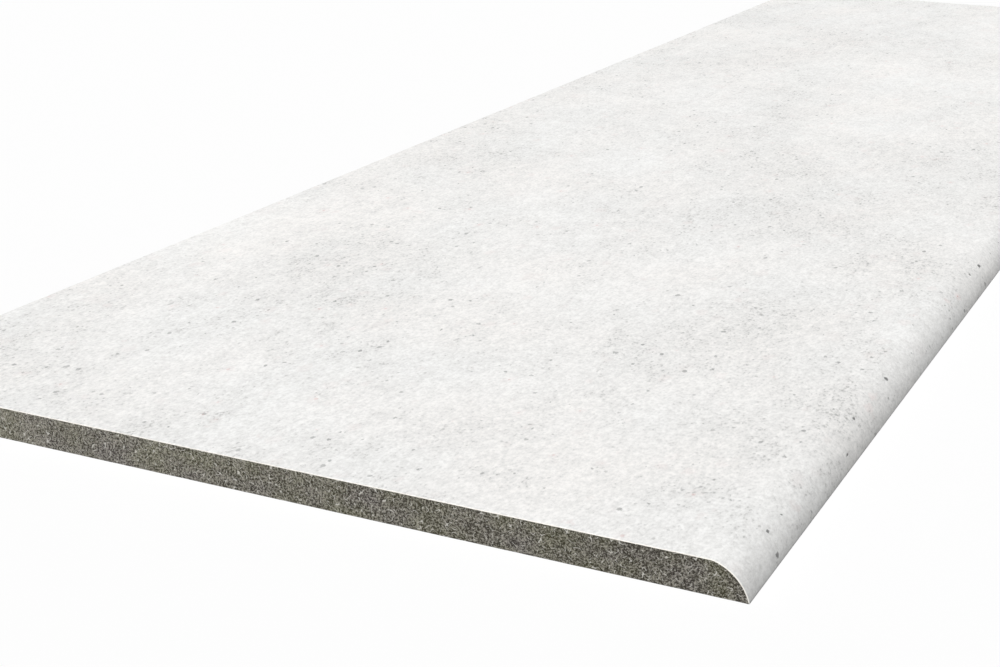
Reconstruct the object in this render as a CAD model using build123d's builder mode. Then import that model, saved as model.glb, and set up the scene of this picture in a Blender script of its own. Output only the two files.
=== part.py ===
"""Stair tread tile: one fired porcelain slab with a rounded nose along its front edge.

Millimetres. X runs along the tread, Y runs from the nose to the back, and Z is up.
The origin is on the floor plane, under the middle of the tile.
"""

import os

from build123d import *

# The slab
length = 1200.0
depth = 350.0
thickness = 12.0

# The nose, ground across the whole front edge
nose_run = 12.5  # how far the arc reaches back over the top face
nose_lean = 14.5  # degrees between the foot of the arc and upright
shoulder_radius = 8.0  # eases the arc into the top face
nose_arris = 0.4  # bevel that takes the sharpness off the lower front corner

# The fine bevel round the top face, where the ends and the back are ground square to it
ground_bevel = 0.3

# The keying recesses pressed into the underside, which the mortar grips
key_cell = 25.0
key_land = 5.0  # rib between two recesses
key_recess = 0.6  # how deep they are
key_border = 15.0  # plain edge at the ends and along the back
key_nose_border = 30.0  # plain edge along the nose, which overhangs the riser

front = -depth / 2
back = depth / 2
nose_foot = (front, 0)
nose_crown = (front + nose_run, thickness)

# Slab and nose, drawn as the section that both ends show
with BuildPart() as tread_tile:
    with BuildSketch(Plane.YZ) as section:
        with BuildLine():
            foot_direction = Vector(0, 1).rotate(Axis.Z, -nose_lean)
            TangentArc(nose_foot, nose_crown, tangent=foot_direction)
            Polyline(nose_crown, (back, thickness), (back, 0), nose_foot)
        make_face()
        crown_corner = section.vertices().sort_by(Axis.X)[1]
        fillet(crown_corner, radius=shoulder_radius)
        foot_corner = section.vertices().sort_by(Axis.X)[0]
        chamfer(foot_corner, length=nose_arris)
    extrude(amount=length / 2, both=True)

    # Fine bevel along both ends, over the top face and round the nose, and along the back
    end_edges = tread_tile.faces().filter_by(Axis.X).edges()
    bed_edges = tread_tile.faces().sort_by(Axis.Z)[0].edges()
    back_edges = tread_tile.faces().sort_by(Axis.Y)[-1].edges()
    top_back_edge = back_edges.filter_by(Axis.X).sort_by(Axis.Z)[-1]
    ground_edges = [e for e in end_edges if e not in bed_edges and e not in back_edges]
    chamfer([*ground_edges, top_back_edge], length=ground_bevel)

    # Keying recesses in the underside, in whole rows between the plain borders
    key_pitch = key_cell + key_land
    key_front = front + key_nose_border
    key_back = back - key_border
    columns = int((length - 2 * key_border + key_land) // key_pitch)
    rows = int((key_back - key_front + key_land) // key_pitch)
    with BuildSketch():
        with Locations((0, (key_front + key_back) / 2)):
            with GridLocations(key_pitch, key_pitch, columns, rows):
                Rectangle(key_cell, key_cell)
    extrude(amount=key_recess, mode=Mode.SUBTRACT)

tread_tile.part.label = "tread_tile"

os.makedirs("parts", exist_ok=True)
export_step(tread_tile.part, "parts/tread_tile.step")
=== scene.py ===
"""Looks of a stair tread tile: pale stone-look glaze over a dark porcelain body.

Metres, in the part's own frame: X runs along the tread, Y from the nose to the back, Z up.
"""

import math

import bmesh
import bpy
from mathutils import Matrix, Vector


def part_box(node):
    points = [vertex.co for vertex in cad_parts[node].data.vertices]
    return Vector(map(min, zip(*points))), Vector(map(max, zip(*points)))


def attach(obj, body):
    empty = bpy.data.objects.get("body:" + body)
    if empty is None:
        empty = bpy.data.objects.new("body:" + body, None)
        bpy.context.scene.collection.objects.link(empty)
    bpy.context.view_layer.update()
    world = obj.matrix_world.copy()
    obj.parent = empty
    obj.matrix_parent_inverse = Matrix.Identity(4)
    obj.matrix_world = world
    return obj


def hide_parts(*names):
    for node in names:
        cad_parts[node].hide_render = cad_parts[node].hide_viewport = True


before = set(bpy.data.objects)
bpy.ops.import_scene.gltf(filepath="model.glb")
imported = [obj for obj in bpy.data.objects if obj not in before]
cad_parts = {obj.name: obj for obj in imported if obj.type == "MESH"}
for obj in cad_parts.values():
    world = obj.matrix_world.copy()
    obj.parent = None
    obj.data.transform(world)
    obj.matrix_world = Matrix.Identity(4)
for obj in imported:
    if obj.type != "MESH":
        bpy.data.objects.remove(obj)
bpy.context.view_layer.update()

MM = 0.001

# The slab's outer sizes, from the frame
low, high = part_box("tread_tile")
length, thickness = high.x - low.x, high.z - low.z
foot_y = -high.y  # where the nose meets the bed, before the arris there is taken off

# The nose, as the part has it
nose_run = 12.5 * MM
nose_lean = math.radians(14.5)
shoulder_radius = 8.0 * MM
nose_steps = 20  # flat faces along the arc

# Edges, eased a little as ground and pressed edges are
nose_arris = 0.4 * MM
ground_bevel = 0.3 * MM
nick_spacing = 1.2 * MM  # between the points along an arris that nicks can move
nick_depth = 0.12 * MM
nick_size = 2.5 * MM

# The keying recesses of the underside, as the part has them
key_cell = 25.0 * MM
key_land = 5.0 * MM
key_recess = 0.6 * MM
key_border = 15.0 * MM
key_nose_border = 30.0 * MM
key_draft = 0.4 * MM  # how far a recess wall slopes in
key_corner = 1.5 * MM

# How close is as good as touching: a cut's plane, a place that is looked for, another point
cut_gap = 0.001 * MM
place_gap = 0.002 * MM
merge_gap = 0.005 * MM

# The nose's arc runs through its foot and its crown, and leans at the foot
crown_y = foot_y + nose_run
chord_squared = nose_run**2 + thickness**2
chord_along_radius = nose_run * math.cos(nose_lean) - thickness * math.sin(nose_lean)
nose_radius = chord_squared / (2 * chord_along_radius)
centre_y = foot_y + nose_radius * math.cos(nose_lean)
centre_z = -nose_radius * math.sin(nose_lean)
crown_angle = math.acos((thickness - centre_z) / nose_radius)  # from upright
nose_angle = math.pi / 2 - nose_lean - crown_angle

# Modelling helpers


def start_editing(piece):
    """Selects one object alone and opens its mesh."""
    bpy.ops.object.select_all(action="DESELECT")
    piece.select_set(True)
    bpy.context.view_layer.objects.active = piece
    bpy.ops.object.mode_set(mode="EDIT")


def pick(kind, test):
    """Selects those verts, edges or faces of the open mesh that pass the test, and nothing else."""
    bpy.ops.mesh.select_mode(type={"verts": "VERT", "edges": "EDGE", "faces": "FACE"}[kind])
    bpy.ops.mesh.select_all(action="DESELECT")
    data = bpy.context.object.data
    mesh = bmesh.from_edit_mesh(data)
    for element in getattr(mesh, kind):
        element.select_set(test(element))
    mesh.select_flush_mode()
    bmesh.update_edit_mesh(data)


def middle(element):
    """Centre of an edge's or a face's corners."""
    return sum((v.co for v in element.verts), Vector()) / len(element.verts)


def near(a, b, gap=place_gap):
    return abs(a - b) < gap


def on_line(edge, **place):
    """Whether both ends of an edge are at these coordinates, such as y=0, z=0."""
    return all(near(getattr(v.co, axis), value) for v in edge.verts for axis, value in place.items())


def on_bed(face):
    return face.normal.z < -0.99 and near(middle(face).z, 0)


def on_end(element):
    return near(abs(middle(element).x), high.x)


def on_back(element):
    return all(near(v.co.y, high.y) for v in element.verts)


# The tile's mesh


def saw_slab():
    """The flat stock behind the nose, left too thick below, so that one cut can level the bed."""
    spare = 2 * MM
    bpy.ops.object.select_all(action="DESELECT")
    bpy.ops.mesh.primitive_cube_add(
        size=1,
        location=(0, (crown_y + high.y) / 2, (thickness - spare) / 2),
        scale=(length, high.y - crown_y, thickness + spare),
    )
    slab = bpy.context.object
    slab.name = slab.data.name = "glazed_tread"
    bpy.ops.object.transform_apply(location=True, rotation=True, scale=True)
    return slab


def turn_nose():
    """Spins the front face down round the nose's centre line, and cuts the bed level."""
    pick("faces", lambda f: f.normal.y < -0.9)
    bpy.ops.mesh.spin(
        steps=nose_steps + 1,
        angle=-nose_angle * (nose_steps + 1) / nose_steps,
        center=(0, centre_y, centre_z),
        axis=(1, 0, 0),
    )
    bpy.ops.mesh.select_all(action="SELECT")
    bpy.ops.mesh.bisect(
        plane_co=(0, 0, 0), plane_no=(0, 0, 1), use_fill=True, clear_inner=True, threshold=cut_gap
    )
    pick("faces", lambda f: on_bed(f) or on_end(f))
    bpy.ops.mesh.dissolve_limited(angle_limit=math.radians(1))


def ease_nose():
    """Eases the arc into the top face, and takes the sharpness off its foot."""
    pick("edges", lambda e: on_line(e, y=crown_y, z=thickness))
    bpy.ops.mesh.bevel(offset=shoulder_radius * math.tan(crown_angle / 2), segments=4)
    pick("edges", lambda e: on_line(e, y=foot_y, z=0))
    bpy.ops.mesh.bevel(offset=nose_arris, segments=2)


def press_recesses():
    """Marks out the field on the bed, cuts it into cells and lands, and sinks the cells."""
    pitch = key_cell + key_land
    front, back = foot_y + key_nose_border, high.y - key_border
    columns = round((length - 2 * key_border + key_land) // pitch)
    rows = round((back - front + key_land) // pitch)
    field = Vector((columns * pitch - key_land, rows * pitch - key_land, 0))
    centre = Vector((0, (front + back) / 2, 0))
    corner = centre - field / 2

    def in_field(element):
        off = middle(element) - centre
        return abs(off.x) < field.x / 2 + MM and abs(off.y) < field.y / 2 + MM and middle(element).z < MM

    def on_field(face):
        return on_bed(face) and in_field(face)

    pick("faces", on_bed)
    bpy.ops.mesh.inset(thickness=key_border)
    inner = [v.co for v in bmesh.from_edit_mesh(bpy.context.object.data).verts if v.select]
    inner_low = Vector(min(co[axis] for co in inner) for axis in range(3))
    inner_high = Vector(max(co[axis] for co in inner) for axis in range(3))
    inner_size, inner_centre = inner_high - inner_low, (inner_high + inner_low) / 2
    bpy.ops.transform.resize(
        value=(field.x / inner_size.x, field.y / inner_size.y, 1), center_override=inner_centre
    )
    bpy.ops.transform.translate(value=centre - inner_centre)

    for axis, count in ((Vector((1, 0, 0)), columns), (Vector((0, 1, 0)), rows)):
        for land in range(1, count):
            for line in (land * pitch - key_land, land * pitch):
                pick("faces", on_field)
                bpy.ops.mesh.bisect(plane_co=corner + line * axis, plane_no=axis, threshold=cut_gap)

    pick("faces", lambda f: on_field(f) and near(f.calc_area(), key_cell**2, gap=key_land**2))
    bpy.ops.mesh.inset(use_individual=True, thickness=key_draft, depth=-key_recess)
    pick("edges", lambda e: in_field(e) and near(abs(e.verts[0].co.z - e.verts[1].co.z), key_recess))
    bpy.ops.mesh.bevel(offset=key_corner, segments=3)


def ease_arrises():
    """Rounds off the arrises of the ends and the back, cut into short lengths first, for the nicks."""
    for height in (0, thickness):
        for side in (low.x, high.x):
            pick("edges", lambda e: on_line(e, x=side, z=height))
            bpy.ops.mesh.subdivide(number_cuts=int((high.y - crown_y) / nick_spacing))
        pick("edges", lambda e: on_line(e, y=high.y, z=height))
        bpy.ops.mesh.subdivide(number_cuts=int(length / nick_spacing))
    pick("edges", lambda e: on_end(e) or on_back(e))
    bpy.ops.mesh.bevel(offset=ground_bevel, segments=3)


def clean_mesh():
    """Merges points that lie together, and divides the flat faces that have many corners into triangles."""
    bpy.ops.mesh.select_all(action="SELECT")
    bpy.ops.mesh.remove_doubles(threshold=merge_gap)
    pick("faces", lambda f: len(f.verts) > 4)
    bpy.ops.mesh.quads_convert_to_tris(ngon_method="BEAUTY")


def rounded(point):
    """Whether a point is on the rounding of an end's or the back's arris, clear of the flat faces."""
    off_end_or_back = min(high.x - abs(point.x), high.y - point.y)
    off_faces = min(off_end_or_back, point.z, thickness - point.z)
    return off_faces > 0.05 * ground_bevel and off_end_or_back < 0.8 * ground_bevel


def nick_arrises(piece):
    """Moves points of the rounded arrises inwards here and there, by up to the depth of a nick."""
    arrises = piece.vertex_groups.new(name="arrises")
    arrises.add([v.index for v in piece.data.vertices if rounded(v.co)], 1, "REPLACE")
    grit = bpy.data.textures.new("grit", "CLOUDS")
    grit.noise_scale = nick_size
    grit.noise_depth = 2
    grit.use_color_ramp = True
    flush, deepest = grit.color_ramp.elements
    flush.position, deepest.position = 0.5, 0.85
    flush.color, deepest.color = (0, 0, 0, 1), (1, 1, 1, 1)
    nicks = piece.modifiers.new("nicks", "DISPLACE")
    nicks.texture = grit
    nicks.texture_coords = "LOCAL"
    nicks.vertex_group = arrises.name
    nicks.direction = "NORMAL"
    nicks.mid_level = 0
    nicks.strength = -nick_depth
    bpy.ops.object.modifier_apply(modifier=nicks.name)


def wears_body(face):
    """Whether a face is bare body: the sawn ends and back, and the whole underside behind the nose."""
    upright = abs(face.normal.z) < 0.05
    below = face.normal.z < -0.1 and middle(face).y > foot_y + nose_arris
    return upright or below


def model_tile():
    """The whole tile as one closed mesh, with glaze above and bare body on the rest."""
    piece = saw_slab()
    start_editing(piece)
    turn_nose()
    ease_nose()
    press_recesses()
    ease_arrises()
    clean_mesh()
    piece.data.materials.append(stone_look_glaze())
    piece.data.materials.append(porcelain_body())
    pick("faces", wears_body)
    piece.active_material_index = 1
    bpy.ops.object.material_slot_assign()
    bpy.ops.object.mode_set(mode="OBJECT")
    nick_arrises(piece)
    bpy.ops.object.shade_smooth_by_angle(angle=math.radians(35))
    even = piece.modifiers.new("even_faces", "WEIGHTED_NORMAL")
    even.weight = 100
    even.keep_sharp = True
    bpy.ops.object.modifier_apply(modifier=even.name)
    return piece


# Finishes

surface_ior = 1.35  # lower than glass, because both finishes are matt
glaze_draw = 1.5  # how far the glaze's pattern is drawn out along the tread
cream_edge = 0.25 * MM  # the glaze's ground edge, up to this far in from an end


class Signal:
    """A socket of a material's nodes that can be used in sums. Each sum adds its Math node."""

    def __init__(self, tree, socket=None):
        self.tree = tree
        self.socket = socket

    def node(self, kind, settings, inputs, output=0):
        """Adds a node, sets it up, gives its inputs their values or signals, and returns an output."""
        made = self.tree.nodes.new("ShaderNode" + kind)
        for name, value in settings.items():
            setattr(made, name, value)
        for name, value in inputs.items():
            if isinstance(value, Signal):
                self.tree.links.new(value.socket, made.inputs[name])
            else:
                made.inputs[name].default_value = value
        return Signal(self.tree, made.outputs[output])

    def math(self, operation, first, second):
        return self.node("Math", {"operation": operation}, {0: first, 1: second})

    def __add__(self, other):
        return self.math("ADD", self, other)

    def __radd__(self, other):
        return self.math("ADD", other, self)

    def __sub__(self, other):
        return self.math("SUBTRACT", self, other)

    def __rsub__(self, other):
        return self.math("SUBTRACT", other, self)

    def __mul__(self, other):
        return self.math("MULTIPLY", self, other)

    def __rmul__(self, other):
        return self.math("MULTIPLY", other, self)

    def __gt__(self, other):
        return self.math("GREATER_THAN", self, other)

    def __lt__(self, other):
        return self.math("LESS_THAN", self, other)

    def fade(self, start, end):
        """1 at start and below, easing to 0 at end and above; the other way round if end is lower."""
        rising = end < start
        ends = {"From Min": min(start, end), "From Max": max(start, end)}
        to = {"To Min": 0.0 if rising else 1.0, "To Max": 1.0 if rising else 0.0}
        return self.node("MapRange", {"interpolation_type": "SMOOTHSTEP"}, {"Value": self, **ends, **to})

    def off_middle(self):
        """How far it is from 0, either way."""
        return self.node("Math", {"operation": "ABSOLUTE"}, {0: self})

    def part(self, axis):
        """The X, Y or Z of a vector."""
        return self.node("SeparateXYZ", {}, {0: self}, "XYZ".index(axis))

    def stretch(self, size, shift=(0, 0, 0)):
        """Coordinates for a pattern whose features are about this long each way."""
        placed = {"Vector": self, "Scale": tuple(1 / s for s in size), "Location": shift}
        return self.node("Mapping", {}, placed)

    def grain(self, size, detail=1.0, keep=0.5, shift=(0, 0, 0)):
        """Soft random variation about 0. Each finer layer, halved in size, keeps this share of strength."""
        at = self.stretch(size, shift)
        inputs = {"Vector": at, "Scale": 1.0, "Detail": detail, "Roughness": keep}
        return self.node("TexNoise", {}, inputs) - 0.5

    def cells(self, spacing, output):
        """Random cells: how far off the nearest centre is, in metres, or a colour drawn for each cell."""
        inputs = {"Vector": self, "Scale": 1 / spacing, "Randomness": 1.0}
        found = self.node("TexVoronoi", {}, inputs, output)
        return found * spacing if output == "Distance" else found

    def mix(self, first, second):
        """A colour on the way from first, at 0, to second, at 1."""
        return self.node("Mix", {"data_type": "RGBA"}, {0: self, 6: first, 7: second}, 2)


def new_finish(name):
    """A material with no nodes yet but its object coordinates."""
    material = bpy.data.materials.new(name)
    material.use_nodes = True
    material.node_tree.nodes.clear()
    return material, Signal(material.node_tree).node("TexCoord", {}, {}, "Object")


def join_up(material, at, colour, roughness, relief):
    """Joins a colour, a roughness and a relief in metres to the material's shader."""
    bump = at.node("Bump", {}, {"Strength": 1.0, "Distance": 1.0, "Height": relief})
    inputs = {"Base Color": colour, "Roughness": roughness, "Normal": bump, "IOR": surface_ior}
    shader = at.node("BsdfPrincipled", {}, inputs)
    output = material.node_tree.nodes.new("ShaderNodeOutputMaterial")
    material.node_tree.links.new(shader.socket, output.inputs["Surface"])
    return material


def specks(at, spacing, radius, share, ragged):
    """Grains set through the stuff, of random size and strength: 0 between them, up to 1 inside."""
    drawn = at.cells(spacing, "Color")
    size = (drawn.part("X") + 0.4) * radius
    shown = drawn.part("Y") < share
    strength = drawn.part("Z") * drawn.part("Z") * 0.85 + 0.15
    off_edge = at.cells(spacing, "Distance") - size + ragged * (radius * 2.5)
    return off_edge.fade(-0.35 * radius, 0.35 * radius) * shown * strength


def stone_look_glaze():
    """Matt glaze: pale, cloudy and finely mottled, with dark flecks and pinkish and red ones."""
    material, place = new_finish("stone_look_glaze")
    at = place.stretch((glaze_draw, 1, 1))
    clouds = at.grain((100 * MM, 90 * MM, 80 * MM), 3.0, 0.6)
    warmth = at.grain((50 * MM, 50 * MM, 50 * MM), 1.0, shift=(3, 5, 7))
    patches = at.grain((14 * MM, 14 * MM, 14 * MM), 2.0)
    mottle = at.grain((4 * MM, 4 * MM, 4 * MM), 2.0, 0.7)
    fine = at.grain((1.3 * MM, 1.3 * MM, 1.3 * MM), 2.0, 0.85)
    gathering = patches * 0.5 + clouds * 0.5
    flecks = (fine + mottle * 0.3 + gathering * 0.8).fade(-0.26, -0.17)
    small = specks(at, 1.8 * MM, 0.45 * MM, 0.13 - gathering * 3.5, fine)
    bold = specks(at, 5.0 * MM, 0.7 * MM, 0.30 - gathering * 5.0, fine)
    red = specks(at, 9.0 * MM, 0.55 * MM, 0.35, fine)
    pink = specks(at, 9.0 * MM, 2.2 * MM, 0.45, mottle)
    blush = specks(at, 24.0 * MM, 5.0 * MM, 0.5, mottle)

    shade = 0.535 + fine * 2.2 + mottle * 1.15 + patches * 0.5 + clouds * 0.9
    pale = (0.5 + warmth * 3.0).mix((0.950, 0.950, 0.938, 1), (0.964, 0.947, 0.926, 1))
    stone = shade.mix((0.70, 0.697, 0.684, 1), pale)
    stone = (blush * 0.25).mix(stone, (0.86, 0.76, 0.74, 1))
    stone = (pink * 0.4).mix(stone, (0.86, 0.74, 0.72, 1))
    stone = (flecks * 0.45).mix(stone, (0.40, 0.39, 0.38, 1))
    stone = (small * 0.65).mix(stone, (0.36, 0.355, 0.345, 1))
    stone = (bold * 1.8).mix(stone, (0.18, 0.18, 0.18, 1))
    stone = (red * 0.9).mix(stone, (0.62, 0.25, 0.22, 1))
    ground_through = place.part("X").off_middle().fade(high.x - 0.4 * cream_edge, high.x - cream_edge)
    stone = (ground_through * 0.6).mix(stone, (0.74, 0.70, 0.62, 1))
    roughness = 0.85 + fine * 0.3 - bold * 0.2
    relief = (fine * 0.03 + mottle * 0.02 - bold * 0.03) * MM
    return join_up(material, at, stone, roughness, relief)


def porcelain_body():
    """Sawn and pressed body: dark and granular, with pits, light hairs, and olive and grey patches.

    It gets a little lighter from the nose to the back: painted shade, darker towards the nose.
    """
    material, at = new_finish("porcelain_body")
    grain = at.grain((0.7 * MM, 0.7 * MM, 0.7 * MM), 3.0, 0.85)
    mottle = at.grain((3 * MM, 3 * MM, 2.4 * MM), 2.0, 0.7)
    patches = at.grain((30 * MM, 22 * MM, 14 * MM), 2.0)
    olive = 0.5 + at.grain((16 * MM, 14 * MM, 10 * MM), 2.0, shift=(3, 5, 7)) * 2.4
    bend = at.grain((2.6 * MM, 2.6 * MM, 2.2 * MM), 0.0, shift=(7, 3, 5))
    broken = at.grain((1.6 * MM, 1.6 * MM, 1.4 * MM), 0.0, shift=(5, 7, 3))
    hairs = (bend * bend).fade(0.0001, 0.0006) * broken.fade(0.06, 0.0)
    pits = specks(at, 2.0 * MM, 0.4 * MM, 0.6, grain)
    # at.part("Y") is painted shade: it darkens the body towards the nose and lightens it towards the back
    shade = 0.42 + grain * 7.1 + mottle * 1.5 + patches * 0.4 + at.part("Y")
    dark = olive.mix((0.027, 0.022, 0.020, 1), (0.029, 0.027, 0.012, 1))
    light = olive.mix((0.314, 0.295, 0.265, 1), (0.314, 0.303, 0.240, 1))
    body = shade.mix(dark, light)
    body = (pits * 0.7).mix(body, (0.025, 0.025, 0.02, 1))
    body = (hairs * 0.8).mix(body, (0.62, 0.605, 0.56, 1))
    roughness = 0.8 + grain * 0.2
    relief = (grain * 0.12 - pits * 0.05) * MM
    return join_up(material, at, body, roughness, relief)


# The tile in place of the CAD node

tread = model_tile()
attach(tread, "root")
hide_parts("tread_tile")

# Camera, as the photo was taken: an angle round the tile, one above the floor, and a slight roll

photo_width = 1000  # pixels
photo_focal = 1760.99  # pixels
camera_place = Vector((-1.05223, -0.30736, 0.24198))
camera_azimuth = math.radians(-64.57)
camera_elevation = math.radians(18.83)
camera_roll = math.radians(0.80)


def set_camera():
    lens = bpy.data.cameras.new("camera")
    lens.sensor_width = 36
    lens.lens = photo_focal * lens.sensor_width / photo_width
    lens.clip_start = 10 * MM
    camera = bpy.data.objects.new("camera", lens)
    upright = math.pi / 2 - camera_elevation
    turned = Matrix.Rotation(camera_azimuth, 4, "Z") @ Matrix.Rotation(upright, 4, "X")
    camera.matrix_world = Matrix.Translation(camera_place) @ turned @ Matrix.Rotation(camera_roll, 4, "Z")
    bpy.context.scene.collection.objects.link(camera)
    bpy.context.scene.camera = camera


set_camera()

# Light: a soft lamp high up before the near end, a weaker one level with the far corner, and a dim room

lamp_direction = Vector((-0.68, -0.10, 0.72))  # from the tile to the lamp
lamp_power = 4.17
lamp_width = 20
fill_direction = Vector((0.74, 0.67, 0.02))
fill_power = 1.6
fill_width = 5
lamp_distance = 3  # only where the lamps are drawn: a sun lights the same from anywhere
room_light = 0.04
floor_width = 40
floor_bounce = 0.02  # how much of the light the floor sends back up at the tile
floor_glow = 0.7  # how much of the floor's look is its own white, and the rest takes the tile's shadow


def hang_lamp(name, direction, power, width):
    """A far lamp in this direction from the tile, this many degrees wide."""
    sun = bpy.data.lights.new(name, "SUN")
    sun.energy = power
    sun.angle = math.radians(width)
    lamp = bpy.data.objects.new(name, sun)
    lamp.rotation_mode = "QUATERNION"
    lamp.rotation_quaternion = direction.to_track_quat("Z", "Y")
    lamp.location = direction * lamp_distance
    bpy.context.scene.collection.objects.link(lamp)


def seen_directly(at):
    """1 for what the camera sees, straight on or in a shiny or clear surface."""
    path = "LightPath"
    straight = at.node(path, {}, {}, "Is Camera Ray")
    mirrored = at.node(path, {}, {}, "Is Glossy Ray")
    through = at.node(path, {}, {}, "Is Transmission Ray")
    return at.math("MAXIMUM", straight, at.math("MAXIMUM", mirrored, through))


def set_room():
    room = bpy.data.worlds.new("room")
    room.use_nodes = True
    bpy.context.scene.world = room
    room.node_tree.nodes.clear()
    start = Signal(room.node_tree)
    lit = start.node("Background", {}, {"Color": (1, 1, 1, 1), "Strength": room_light})
    white = start.node("Background", {}, {"Color": (1, 1, 1, 1), "Strength": 1.0})
    glow = start.node("MixShader", {}, {0: seen_directly(start), 1: lit, 2: white})
    output = room.node_tree.nodes.new("ShaderNodeOutputWorld")
    room.node_tree.links.new(glow.socket, output.inputs["Surface"])


def lay_floor():
    """A broad pale floor that keeps the tile's shadow, and looks as white as the room behind it."""
    bpy.ops.object.select_all(action="DESELECT")
    bpy.ops.mesh.primitive_plane_add(size=floor_width)
    floor = bpy.context.object
    floor.name = "floor"
    material = bpy.data.materials.new("floor")
    material.use_nodes = True
    material.node_tree.nodes.clear()
    start = Signal(material.node_tree)
    dull = start.node("BsdfDiffuse", {}, {"Color": (floor_bounce,) * 3 + (1,)})
    pale = start.node("BsdfDiffuse", {}, {"Color": (0.95, 0.95, 0.95, 1)})
    white = start.node("Emission", {}, {"Color": (1, 1, 1, 1), "Strength": 1.0})
    seen_floor = start.node("MixShader", {}, {0: floor_glow, 1: pale, 2: white})
    both = start.node("MixShader", {}, {0: seen_directly(start), 1: dull, 2: seen_floor})
    output = material.node_tree.nodes.new("ShaderNodeOutputMaterial")
    material.node_tree.links.new(both.socket, output.inputs["Surface"])
    floor.data.materials.append(material)


hang_lamp("lamp", lamp_direction, lamp_power, lamp_width)
hang_lamp("fill_lamp", fill_direction, fill_power, fill_width)
set_room()
lay_floor()
bpy.context.scene.view_settings.view_transform = "Standard"
